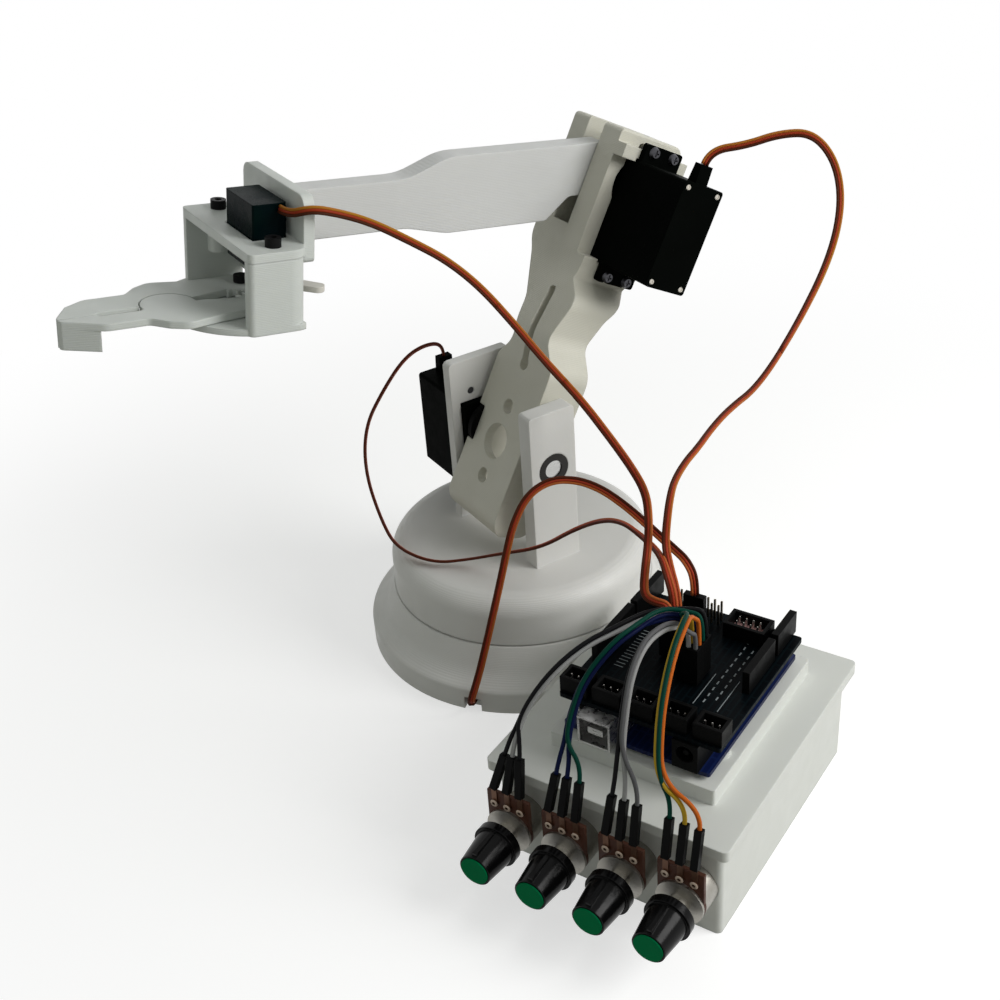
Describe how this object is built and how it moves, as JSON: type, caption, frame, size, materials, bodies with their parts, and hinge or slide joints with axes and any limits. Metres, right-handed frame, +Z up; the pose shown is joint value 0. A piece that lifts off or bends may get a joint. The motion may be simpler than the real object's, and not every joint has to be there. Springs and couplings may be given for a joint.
{
  "type": "desktop robot arm with knob control box",
  "caption": "Desktop printed robot arm on a round turning base, servo shoulder and elbow, two-jaw gripper, wired to a control box with a stacked board and rotary knobs.",
  "frame": {"origin": "centre of the arm's round foot, on the surface it stands on", "axes": "+X the way the forearm points at rest, +Y towards the control box, +Z up"},
  "size_m": [0.2717, 0.2545, 0.2046],
  "materials": {
    "printed_plastic": "satin, layer lines",
    "servo_black": "satin",
    "micro_servo_case": "gloss",
    "horn_plastic": "satin",
    "dark_screws": "satin",
    "bright_steel": "bright",
    "board_blue": "satin solder mask",
    "shield_dark": "satin solder mask",
    "black_plastic": "satin",
    "pin_gold": "bright",
    "pot_metal": "satin",
    "pot_wafer": "matt",
    "terminal_tin": "bright",
    "knob_black": "gloss",
    "cap_green": "satin",
    "lead_orange": "satin",
    "jumper_wire": "satin"
  },
  "bodies": {
    "base": {"base_shell": "printed_plastic", "base_plate": "printed_plastic", "waist_servo": "servo_black", "waist_servo_screws": "dark_screws", "control_box": "printed_plastic", "control_box_lid": "printed_plastic", "controller_board": "board_blue", "usb_socket": "bright_steel", "power_jack": "black_plastic", "reset_switch": "bright_steel", "header_strips": "black_plastic", "shield_board": "shield_dark", "shield_sockets": "black_plastic", "shield_pins": "pin_gold", "servo_plugs": "black_plastic", "jumper_housings": "black_plastic", "pot_cans": "pot_metal", "pot_wafers": "pot_wafer", "pot_terminals": "terminal_tin", "jumper_wires": "jumper_wire", "waist_lead": "lead_orange", "gripper_lead_3": "lead_orange", "elbow_lead_2": "lead_orange", "shoulder_lead": "lead_orange"},
    "waist": {"waist_turret": "printed_plastic", "waist_horn": "horn_plastic", "shoulder_servo": "servo_black", "shoulder_servo_screws": "dark_screws", "shoulder_bearing": "bright_steel", "gripper_lead_2": "lead_orange", "elbow_lead_1": "lead_orange"},
    "lower_arm": {"lower_arm": "printed_plastic", "shoulder_horn": "horn_plastic", "shoulder_pin": "bright_steel", "elbow_servo": "servo_black", "elbow_servo_screws": "dark_screws", "gripper_lead_1": "lead_orange"},
    "forearm": {"forearm": "printed_plastic", "elbow_horn": "horn_plastic", "elbow_pin": "bright_steel", "gripper_bracket": "printed_plastic", "gripper_cage": "printed_plastic", "gripper_servo": "micro_servo_case", "gripper_screws": "dark_screws"},
    "drive_jaw": {"drive_jaw": "printed_plastic", "gripper_horn": "horn_plastic"},
    "driven_jaw": {"driven_jaw": "printed_plastic"},
    "reset_button": {"reset_button": "black_plastic"},
    "knob_1": {"knob_1": "knob_black", "knob_cap_1": "cap_green", "pot_shaft_1": "pot_metal"},
    "knob_2": {"knob_2": "knob_black", "knob_cap_2": "cap_green", "pot_shaft_2": "pot_metal"},
    "knob_3": {"knob_3": "knob_black", "knob_cap_3": "cap_green", "pot_shaft_3": "pot_metal"},
    "knob_4": {"knob_4": "knob_black", "knob_cap_4": "cap_green", "pot_shaft_4": "pot_metal"}
  },
  "joints": [
    {"name": "waist_turn", "type": "hinge", "parent": "base", "child": "waist", "pos_m": [0, 0, 0.0445], "axis": [0, 0, 1], "range_deg": [-90, 45], "deforming": ["gripper_lead_3", "elbow_lead_2", "shoulder_lead"]},
    {"name": "shoulder_swing", "type": "hinge", "parent": "waist", "child": "lower_arm", "pos_m": [0.0015, 0, 0.0865], "axis": [0, 1, 0], "range_deg": [-15, 40], "deforming": ["gripper_lead_2", "elbow_lead_1"]},
    {"name": "elbow_swing", "type": "hinge", "parent": "lower_arm", "child": "forearm", "pos_m": [-0.0664, -0.0225, 0.17011], "axis": [0, -1, 0], "range_deg": [-15, 45], "deforming": ["gripper_lead_1"]},
    {"name": "drive_jaw_turn", "type": "hinge", "parent": "forearm", "child": "drive_jaw", "pos_m": [0.08898, -0.0129, 0.1659], "axis": [-0.1495, 0, 0.9888], "range_deg": [0, 20]},
    {"name": "driven_jaw_turn", "type": "hinge", "parent": "forearm", "child": "driven_jaw", "pos_m": [0.08898, -0.0321, 0.1659], "axis": [-0.1495, 0, 0.9888], "range_deg": [-20, 0]},
    {"name": "reset_press", "type": "slide", "parent": "base", "child": "reset_button", "axis": [0, 0, -1], "range_m": [0, 0.00025], "stiffness_N_per_m": 2000},
    {"name": "knob_1_turn", "type": "hinge", "parent": "base", "child": "knob_1", "pos_m": [0.09261, 0.12375, 0.0196], "axis": [0.907, 0.421, 0], "range_deg": [-150, 150]},
    {"name": "knob_2_turn", "type": "hinge", "parent": "base", "child": "knob_2", "pos_m": [0.08376, 0.1428, 0.0196], "axis": [0.907, 0.421, 0], "range_deg": [-150, 150]},
    {"name": "knob_3_turn", "type": "hinge", "parent": "base", "child": "knob_3", "pos_m": [0.07492, 0.16185, 0.0196], "axis": [0.907, 0.421, 0], "range_deg": [-150, 150]},
    {"name": "knob_4_turn", "type": "hinge", "parent": "base", "child": "knob_4", "pos_m": [0.06608, 0.18089, 0.0196], "axis": [0.907, 0.421, 0], "range_deg": [-150, 150]}
  ],
  "couplings": [
    {"joint": "driven_jaw_turn", "follows": "drive_jaw_turn", "ratio": -1}
  ]
}
